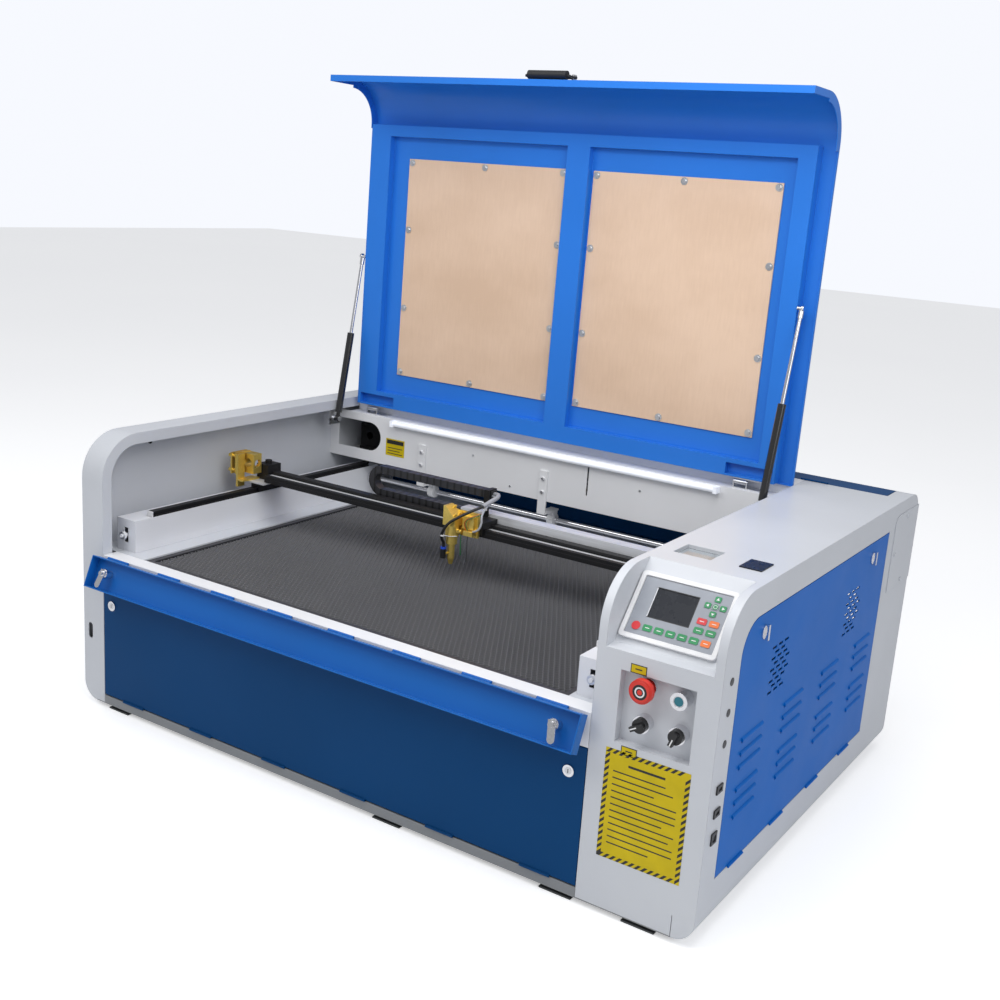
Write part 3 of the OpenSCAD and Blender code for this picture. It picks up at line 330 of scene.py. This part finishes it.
world = bpy.data.worlds.new("studio")
bpy.context.scene.world = world
world.use_nodes = True
wnt = world.node_tree
bg = wnt.nodes["Background"]
bg.inputs["Color"].default_value = (0.93, 0.95, 1.0, 1)
# lit softly, but seen as plain white behind the object
rays = wnt.nodes.new("ShaderNodeLightPath")
glowing = wnt.nodes.new("ShaderNodeMapRange")
glowing.inputs["To Min"].default_value = WORLD_LIGHT
glowing.inputs["To Max"].default_value = 1.0
wnt.links.new(rays.outputs["Is Camera Ray"], glowing.inputs["Value"])
wnt.links.new(glowing.outputs["Result"], bg.inputs["Strength"])


def area(name, loc, target, size_x, size_y, power, color=(1, 1, 1)):
    """A rectangular lamp at loc, in metres, turned to target."""
    d = bpy.data.lights.new(name, "AREA")
    d.shape = "RECTANGLE"
    d.size = size_x
    d.size_y = size_y
    d.energy = power
    d.color = color
    o = bpy.data.objects.new(name, d)
    bpy.context.scene.collection.objects.link(o)
    o.location = loc
    o.rotation_euler = (Vector(target) - Vector(loc)).to_track_quat("-Z", "Y").to_euler()


MIDDLE = (0, 0, 0.4)
area("key", (-1.9, -2.9, 3.4), MIDDLE, 2.4, 1.8, 46)
area("top", (0.2, -0.4, 4.2), MIDDLE, 3.2, 2.4, 47)
area("fill", (3.6, -1.3, 2.2), (0.2, 0, 0.5), 2.2, 2.2, 27, (0.97, 0.98, 1))
area("inside", (0.5, -0.7, 1.7), (-0.6, 0.1, 0.4), 0.9, 0.9, 9)

CAMERA_PLACE = (1.36955, -2.15291, 1.16658)
CAMERA_YAW, CAMERA_PITCH, CAMERA_ROLL = 32.565, 14.522, 3.9875
cam_data = bpy.data.cameras.new("camera")
cam = bpy.data.objects.new("camera", cam_data)
bpy.context.scene.collection.objects.link(cam)
bpy.context.scene.camera = cam
cam_data.sensor_width = 36.0
cam_data.lens = 45.23
cam_data.clip_start = 0.05
cam_data.clip_end = 60
yaw, pitch, roll = (math.radians(a) for a in (CAMERA_YAW, CAMERA_PITCH, CAMERA_ROLL))
ahead = Vector((-math.sin(yaw) * math.cos(pitch), math.cos(yaw) * math.cos(pitch), -math.sin(pitch)))
level = Vector((math.cos(yaw), math.sin(yaw), 0))
above = level.cross(ahead)
right = math.cos(roll) * level + math.sin(roll) * above
up = -math.sin(roll) * level + math.cos(roll) * above
turn = Matrix((right, up, -ahead)).transposed()
cam.matrix_world = Matrix.Translation(CAMERA_PLACE) @ turn.to_4x4()
bpy.context.scene.view_settings.view_transform = "Standard"


# ---------------------------------------------------------------- detail pieces
class Maker:
    """Collects simple solids, given in millimetres from the body's corner, into one piece."""

    def __init__(self, name, body, mats, place=None):
        self.name = name
        self.body = body
        self.mats = mats
        self.bm = bmesh.new()
        self.place = place or (lambda p: at(*p))

    def _faces(self, points, faces, mat):
        """Adds points, and faces given as rows of their numbers, in material number mat."""
        verts = [self.bm.verts.new(self.place(p)) for p in points]
        for f in faces:
            face = self.bm.faces.new([verts[i] for i in f])
            face.material_index = mat

    def _loft(self, low, top, mat):
        """Closes two outlines of as many points into one solid."""
        n = len(low)
        sides = [(i, (i + 1) % n, n + (i + 1) % n, n + i) for i in range(n)]
        self._faces(low + top, [tuple(range(n))[::-1], tuple(range(n, 2 * n))] + sides, mat)

    @staticmethod
    def _circle(centre, axis, r, n):
        """n points round centre, square to axis."""
        side = axis.orthogonal().normalized()
        other = axis.cross(side)
        turns = [2 * math.pi * k / n for k in range(n)]
        return [tuple(centre + (side * math.cos(t) + other * math.sin(t)) * r) for t in turns]

    def box(self, a, b, mat=0):
        """A box between opposite corners a and b."""
        outline = [(a[0], a[1], a[2]), (b[0], a[1], a[2]), (b[0], b[1], a[2]), (a[0], b[1], a[2])]
        self.prism(outline, (0, 0, b[2] - a[2]), mat)

    def prism(self, outline, offset, mat=0):
        """An outline drawn out by offset."""
        self._loft(outline, [tuple(p[i] + offset[i] for i in range(3)) for p in outline], mat)

    def rod(self, p0, p1, r, mat=0, n=28, r1=None):
        """A round bar from p0 to p1, with radius r1 at its far end if that is given."""
        a, b = Vector(p0), Vector(p1)
        axis = (b - a).normalized()
        self._loft(self._circle(a, axis, r, n), self._circle(b, axis, r if r1 is None else r1, n), mat)

    def ring(self, centre, axis, r0, r1, h, mat=0, n=40):
        """A flat washer from radius r0 to r1, standing h along axis."""
        axis = Vector(axis).normalized()
        pts = []
        for lift in (0, h):
            for r in (r0, r1):
                pts += self._circle(Vector(centre) + axis * lift, axis, r, n)
        faces = []
        for i in range(n):
            j = (i + 1) % n
            faces += [(i, j, n + j, n + i), (2 * n + i, 3 * n + i, 3 * n + j, 2 * n + j)]
            faces += [(i, 2 * n + i, 2 * n + j, j), (n + i, n + j, 3 * n + j, 3 * n + i)]
        self._faces(pts, faces, mat)

    def done(self):
        """Makes the piece, riding on its body."""
        mesh = bpy.data.meshes.new(self.name)
        bmesh.ops.recalc_face_normals(self.bm, faces=self.bm.faces)
        self.bm.to_mesh(mesh)
        self.bm.free()
        for m in self.mats:
            mesh.materials.append(m)
        o = bpy.data.objects.new(self.name, mesh)
        bpy.context.scene.collection.objects.link(o)
        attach(o, self.body)


ink_black = plastic("ink_black", (0.014, 0.014, 0.014), 0.5)
ink_white = plastic("ink_white", (0.80, 0.80, 0.80), 0.5)
label_yellow = plastic("label_yellow", (0.62, 0.47, 0.004), 0.5, 300, 0.03, gloss=0.25)
key_green = plastic("key_green", (0.008, 0.24, 0.075), 0.38, 400, 0.03)
key_red = plastic("key_red", (0.62, 0.022, 0.03), 0.38, 400, 0.03)
key_orange = plastic("key_orange", (0.80, 0.16, 0.015), 0.38, 400, 0.03)
wire_red = plastic("wire_red", (0.45, 0.02, 0.015), 0.4)
wire_green = plastic("wire_green", (0.02, 0.20, 0.05), 0.4)
label_blue = plastic("label_blue", (0.02, 0.08, 0.60), 0.35)

# ---- control panel: printed keys on the film
SLOPE = math.radians(49.96)
PANEL = (1336, 71.5, 506)  # its middle


def on_panel(p):
    """Across, up the slope and out of the panel, to the row frame."""
    x, u, h = p
    y = PANEL[1] + u * math.cos(SLOPE) - h * math.sin(SLOPE)
    z = PANEL[2] + u * math.sin(SLOPE) + h * math.cos(SLOPE)
    return at(PANEL[0] + x, y, z)


KEY_TOP = 5.3  # top of the solid's raised pads
KEY_INK, SIGN_FOOT, SIGN_INK = 0.25, KEY_TOP + 0.2, 0.15
GREEN, RED, ORANGE, WHITE = range(4)
keys = Maker("panel_keys", "frame", [key_green, key_red, key_orange, ink_white], on_panel)


def key(x, u, w, l, mat):
    """One printed key, w by l, with cut corners."""
    a, b, cut = w / 2, l / 2, 1.6
    corners = [(cut - a, -b), (a - cut, -b), (a, cut - b), (a, b - cut),
               (a - cut, b), (cut - a, b), (-a, b - cut), (-a, cut - b)]
    keys.prism([(x + dx, u + du, KEY_TOP) for dx, du in corners], (0, 0, KEY_INK), mat)


def key_bar(x, u, half):
    """The plain bar that stands for a caption."""
    keys.box((x - half, u - 0.6, SIGN_FOOT), (x + half, u + 0.6, SIGN_FOOT + SIGN_INK), WHITE)


def round_key(x, u, r, mat):
    keys.rod((x, u, KEY_TOP), (x, u, KEY_TOP + KEY_INK), r, mat)


# the bottom row: one round red key, five green and one orange
KEY_X, KEY_STEP, KEY_U = -60, 20, -36
for k in range(1, 7):
    x = KEY_X + k * KEY_STEP
    key(x, KEY_U, 15.6, 11.0, ORANGE if k == 6 else GREEN)
    key_bar(x, KEY_U, 3.6)
round_key(KEY_X, KEY_U, 7.4, RED)
# the cross of arrow keys
CROSS_X, CROSS_U, REACH = 53, 26.5, 13
for dx, du in ((0, 1), (0, -1), (-1, 0), (1, 0)):
    x, u = CROSS_X + dx * REACH, CROSS_U + du * REACH
    key(x, u, 10.8, 9.8, GREEN)
    tip_x, tip_u = x + dx * 2.8, u + du * 2.8
    foot_x, foot_u = x - dx * 1.6, u - du * 1.6
    keys.prism([(tip_x, tip_u, SIGN_FOOT), (foot_x - du * 2.6, foot_u + dx * 2.6, SIGN_FOOT),
                (foot_x + du * 2.6, foot_u - dx * 2.6, SIGN_FOOT)], (0, 0, SIGN_INK), WHITE)
round_key(CROSS_X, CROSS_U, 4.8, GREEN)
keys.ring((CROSS_X, CROSS_U, SIGN_FOOT), (0, 0, 1), 2.6, 3.3, SIGN_INK, WHITE)
# the block of four keys under it
for x, u, mat in ((41, -2, RED), (61.5, -2, ORANGE), (41, -18, GREEN), (61.5, -18, GREEN)):
    key(x, u, 16.1, 10.6, mat)
    key_bar(x, u, 3.8)
keys.done()

# the rim round the screen, its left side light grey as a painted highlight
SCREEN_X0, SCREEN_X1, SCREEN_U0, SCREEN_U1, RIM = -50.2, 24.2, -18.2, 36.2, 1.6
rim = Maker("screen_rim", "frame", [M["black_plastic"], M["rail_grey"]], on_panel)
for x0, u0, x1, u1, mat in ((SCREEN_X0, SCREEN_U0, SCREEN_X0 + RIM, SCREEN_U1, 1),
                            (SCREEN_X1 - RIM, SCREEN_U0, SCREEN_X1, SCREEN_U1, 0),
                            (SCREEN_X0, SCREEN_U0, SCREEN_X1, SCREEN_U0 + RIM, 0),
                            (SCREEN_X0, SCREEN_U1 - RIM, SCREEN_X1, SCREEN_U1, 0)):
    rim.box((x0, u0, 3.3), (x1, u1, 4.4), mat)
rim.done()

# ---- switches: two columns and two rows in the recess
LEFT_X, RIGHT_X, UPPER_Z, LOWER_Z = 1323, 1385, 400, 340
OUTWARD = (0, -1, 0)
stop = Maker("stop_face", "estop_button", [ink_black, ink_white, M["red_plastic"]])
stop.rod((LEFT_X, -17.2, UPPER_Z), (LEFT_X, -16.9, UPPER_Z), 12.5, 0)
stop.ring((LEFT_X, -17.2, UPPER_Z), OUTWARD, 6.2, 8.6, 0.2, 1)
stop.rod((LEFT_X, -17.4, UPPER_Z), (LEFT_X, -17.2, UPPER_Z), 4.2, 2)
stop.done()
lamp = Maker("push_face", "push_button", [M["teal_plastic"], M["zinc_steel"]])
lamp.rod((RIGHT_X, -7.9, UPPER_Z), (RIGHT_X, -6.9, UPPER_Z), 7.2, 0, r1=7.8)
lamp.ring((RIGHT_X, -6.9, UPPER_Z), OUTWARD, 7.8, 8.9, 0.8, 1)
lamp.done()


def on_selector(x, turn):
    """Places points on a selector at x, turned by turn degrees about its shaft."""
    t = math.radians(turn)
    return lambda p: at(x + p[0] * math.cos(t) + p[2] * math.sin(t), p[1],
                        LOWER_Z - p[0] * math.sin(t) + p[2] * math.cos(t))


for x, turn, name in ((LEFT_X, 60, "left"), (RIGHT_X, 20, "right")):
    mark = Maker("pointer_" + name, "selector_" + name, [ink_white], on_selector(x, turn))
    mark.box((-1.0, -15.25, -13.4), (1.0, -14.9, -1))
    mark.done()

# ---- plates: plain colours and bars, no lettering
YELLOW, BLACK = 0, 1
FACE = -0.05
PLATE = FACE - 0.25  # front of the notice; its bars stand PRINT before it
PRINT = 0.1
plates = Maker("front_plates", "frame", [label_yellow, ink_black])
LABEL_W, LABEL_H, LABEL_EDGE = 28, 15, 1.4
for x0, z0 in ((1296, 421.5), (1293, 281)):
    x1, z1, mid = x0 + LABEL_W, z0 + LABEL_H, z0 + LABEL_H / 2
    plates.box((x0, PLATE, z0), (x1, FACE, z1), BLACK)
    plates.box((x0 + LABEL_EDGE, FACE - 0.35, z0 + LABEL_EDGE),
               (x1 - LABEL_EDGE, FACE - 0.2, z1 - LABEL_EDGE), YELLOW)
    plates.box((x0 + 8, FACE - 0.42, mid - 1), (x1 - 8, FACE - 0.3, mid + 1), BLACK)

# the notice: yellow, with a striped band round it
NX0, NX1, NZ0, NZ1, BAND = 1267, 1416, 94, 286, 8
STRIPE_STEP = 11.4
STRIPE = STRIPE_STEP / 2
plates.box((NX0, PLATE, NZ0), (NX1, FACE, NZ1), YELLOW)


def stripe(x, z, across, along):
    """One slanted stripe of the band from (x, z), STRIPE wide along x or z."""
    outline = ((x, z), (x + across, z + along), (x + across + BAND, z + along + BAND), (x + BAND, z + BAND))
    plates.prism([(px, PLATE, pz) for px, pz in outline], (0, -PRINT, 0), BLACK)


def notice_bar(x0, x1, z0, z1):
    plates.box((x0, PLATE - PRINT, z0), (x1, PLATE, z1), BLACK)


z = NZ0
while z + STRIPE < NZ1 - BAND:
    for x in (NX0, NX1 - BAND):
        stripe(x, z, 0, STRIPE)
    z += STRIPE_STEP
x = NX0
while x + STRIPE + BAND < NX1:
    for z in (NZ0, NZ1 - BAND):
        stripe(x, z, STRIPE, 0)
    x += STRIPE_STEP
notice_bar(NX0 + 42, NX1 - 42, NZ1 - 24, NZ1 - 20)
LINES, LINE_STEP = 12, 11.5
for k in range(LINES):
    end = NX1 - 18 - rng.choice((0, 8, 22, 40))
    top = NZ1 - 35.8 - k * LINE_STEP
    notice_bar(NX0 + 16, end, top - 2.2, top)
plates.done()

BACK_FACE, BACK_PRINT = 779.6, 779.5
back = Maker("rear_wall_plate", "frame", [label_yellow, ink_black])
back.box((185, BACK_FACE, 455), (243, 779.95, 498), YELLOW)
back.box((188, BACK_PRINT, 485), (240, 779.62, 495), BLACK)
for k in range(3):
    back.box((191, BACK_PRINT, 460 + k * 7), (237 - 8 * (k % 2), 779.62, 462 + k * 7), BLACK)
back.done()

# ---- locks
for x, z, name in ((90, 227, "left"), (1203, 222, "right")):
    barrel = Maker("key_barrel_" + name, "door_lock_" + name, [M["black_plastic"], M["zinc_steel"]])
    barrel.rod((x, -3.0, z), (x, -2.4, z), 6.2, 1)
    barrel.box((x - 0.8, -3.1, z - 3.6), (x + 0.8, -2.9, z + 3.6), 0)
    barrel.done()

# ---- rail end caps, tension screw washers and small fixings on the walls
LEFT_RAIL_X, RIGHT_RAIL_X = 90, 1187
caps = Maker("rail_caps", "frame", [M["white_plastic"]])
for x in (LEFT_RAIL_X, RIGHT_RAIL_X):
    caps.box((x - 7, 101, 402.5), (x + 7, 105, 413.5))
caps.done()
screws = Maker("wall_screws", "frame", [M["zinc_steel"], M["black_plastic"]])
for x in (71, 1206):  # washers of the tension screws
    screws.ring((x, 43.7, 368), OUTWARD, 4.3, 8.4, 0.4, 0)
for y, z in ((180, 540), (260, 545)):  # plugs in the left wall
    screws.rod((2, y, z), (4, y, z), 5, 1)
for x in (300, 652):  # screws of the shaft brackets
    for z in (450, 482):
        screws.rod((x, 771.5, z), (x, 772.6, z), 3.2, 0)
for x, z in ((450, 500), (900, 500), (560, 445)):  # screws in the inner rear wall
    screws.rod((x, 779.0, z), (x, 780, z), 2.6, 0)
screws.done()

# ---- honeycomb of the bed
CELL, WALL = 11.0, 0.7
lo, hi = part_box("bed_honeycomb")
hx0, hy0 = lo[0] * 1000 + OX, lo[1] * 1000 + OY
hx1, hy1 = hi[0] * 1000 + OX, hi[1] * 1000 + OY
HZ0, HZ1 = 318, 329.5
comb = bmesh.new()


def comb_wall(a, b):
    """One cell wall: two sides and a top."""
    d = Vector((b[0] - a[0], b[1] - a[1]))
    n = Vector((-d.y, d.x)).normalized() * WALL / 2
    q = [(a[0] + n.x, a[1] + n.y), (b[0] + n.x, b[1] + n.y),
         (b[0] - n.x, b[1] - n.y), (a[0] - n.x, a[1] - n.y)]
    top = [comb.verts.new(at(x, y, HZ1)) for x, y in q]
    low = [comb.verts.new(at(x, y, HZ0)) for x, y in q]
    comb.faces.new(top)
    comb.faces.new((low[0], low[1], top[1], top[0]))
    comb.faces.new((low[2], low[3], top[3], top[2]))


side = CELL / math.sqrt(3)
rows = int((hy1 - hy0) / (1.5 * side))
cols = int((hx1 - hx0) / CELL)
for j in range(rows):
    for i in range(cols):
        cx = hx0 + CELL * (i + 0.5 + 0.5 * (j % 2))
        cy = hy0 + side + 1.5 * side * j
        if cx + CELL / 2 > hx1 or cy + side > hy1:
            continue
        turns = [math.radians(60 * k) for k in range(4)]
        corners = [(cx + side * math.sin(t), cy + side * math.cos(t)) for t in turns]
        for a, b in zip(corners, corners[1:]):  # three walls each; the neighbours bring the others
            comb_wall(a, b)
comb_mesh = bpy.data.meshes.new("honeycomb")
comb.to_mesh(comb_mesh)
comb.free()
comb_mesh.materials.append(paint("comb_metal", (0.20, 0.20, 0.21), 0.45, 0.0, 0.0003))
honey = bpy.data.objects.new("honeycomb", comb_mesh)
bpy.context.scene.collection.objects.link(honey)
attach(honey, "frame")
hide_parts("bed_honeycomb")


# ---- head: air hose, cables, tie and the push-in fitting
def smooth(points, steps=6):
    """Points along a smooth line through the given ones (a Catmull-Rom spline)."""
    ends = [points[0]] + list(points) + [points[-1]]
    out = []
    for k in range(len(points) - 1):
        a, b, c, d = (Vector(q) for q in ends[k:k + 4])
        for i in range(steps):
            t = i / steps
            square, cube = 2 * a - 5 * b + 4 * c - d, 3 * b - a - 3 * c + d
            out.append(0.5 * (2 * b + (c - a) * t + square * t ** 2 + cube * t ** 3))
    return out + [Vector(points[-1])]


def tube(name, body, points, radius, mat):
    """A round cable along a smooth line, given in millimetres; gives it and its length in metres."""
    line = smooth(points)
    cu = bpy.data.curves.new(name, "CURVE")
    cu.dimensions = "3D"
    cu.bevel_depth = radius / 1000
    cu.bevel_resolution = 4
    cu.use_fill_caps = True
    sp = cu.splines.new("POLY")
    sp.points.add(len(line) - 1)
    for q, p in zip(sp.points, line):
        q.co = (*at(*p), 1)
    cu.materials.append(mat)
    o = bpy.data.objects.new(name, cu)
    bpy.context.scene.collection.objects.link(o)
    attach(o, body)
    return o, sum((b - a).length for a, b in zip(line, line[1:])) / 1000


FIT_X, FIT_Y = 663, 375.5  # the push-in fitting
AIR_PATH = [(713, 479, 508), (724, 476, 509), (731, 462, 507), (731, 440, 503), (728, 415, 496),
            (716, 393, 488), (698, 374, 475), (682, 365, 462), (671, 362, 446), (664.5, 364, 431),
            (663, 370.5, 420), (FIT_X, FIT_Y, 412.5), (FIT_X, FIT_Y, 392.4)]
SLEEVED = 5  # points of it inside the pale sleeve
SIGNAL_PATH = [(712.5, 472, 505), (721, 468, 505), (727, 455, 501), (730, 435, 497), (733, 415, 490),
               (737, 400, 480), (740, 395, 467), (738, 391, 455), (731, 389, 449), (724, 390, 446)]
LEAD_PATH = [(690, 399, 435), (691, 396, 428), (692, 395, 415), (692, 395.5, 400), (691.5, 397, 388)]
cable_pale = plastic("cable_pale", (0.34, 0.35, 0.38), 0.35)
sleeve, _ = tube("cable_sleeve", "head", AIR_PATH[:SLEEVED], 4.6, cable_pale)
air, air_length = tube("air_hose", "head", AIR_PATH, 3.0, M["rubber_black"])
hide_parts("head_hoses")
signal, signal_length = tube("signal_cable", "head", SIGNAL_PATH, 2.3, cable_pale)
for name, mat, shift in (("wire_red", wire_red, 0), ("wire_green", wire_green, 3)):
    path = [(706 + shift, 392, 446), (704 + shift, 388, 460), (710 + shift, 386, 470),
            (719 + shift, 390, 476), (727 + shift, 398, 480), (733 + shift * 0.4, 411, 484)]
    wire, wire_length = tube(name, "head", path, 0.9, mat)
lead, lead_length = tube("probe_lead", "head", LEAD_PATH, 1.1, wire_green)
tie = Maker("cable_tie", "head", [M["white_plastic"]])
TIE_BEND = (680, 372, 431)
tie.ring((666.5, 364.2, 430.5), (0, 0, 1), 3.1, 4.2, 3.2)
tie.rod((669.5, 366, 432), TIE_BEND, 0.9)
tie.rod(TIE_BEND, (690, 383, 431), 0.9)
tie.box((704, 452, 476), (711, 458, 492))
tie.done()
fitting = Maker("hose_fitting", "lens_tube", [M["black_plastic"], label_blue])
fitting.ring((FIT_X, FIT_Y, 381), (0, 0, 1), 4.0, 6.1, 19.5, 0)
fitting.ring((FIT_X, FIT_Y, 400.5), (0, 0, 1), 3.9, 5.9, 4.5, 1)
fitting.done()
probe = Maker("probe_plate", "head", [M["clear_acrylic"]])
probe.box((692, 399, 376), (705, 400.6, 436))
probe.done()

# ---- fan guard in the rear vent
FAN_X, FAN_Z, SPOKE = 1342, 300, 45
guard = Maker("fan_guard", "frame", [M["zinc_steel"]])
for r in (14, 24, 34, 43):
    guard.ring((FAN_X, 982, FAN_Z), (0, 1, 0), r - 0.9, r + 0.9, 1.8)
for a in (45, 135):
    dx, dz = SPOKE * math.cos(math.radians(a)), SPOKE * math.sin(math.radians(a))
    guard.rod((FAN_X - dx, 981.2, FAN_Z - dz), (FAN_X + dx, 981.2, FAN_Z + dz), 1.1)
guard.done()
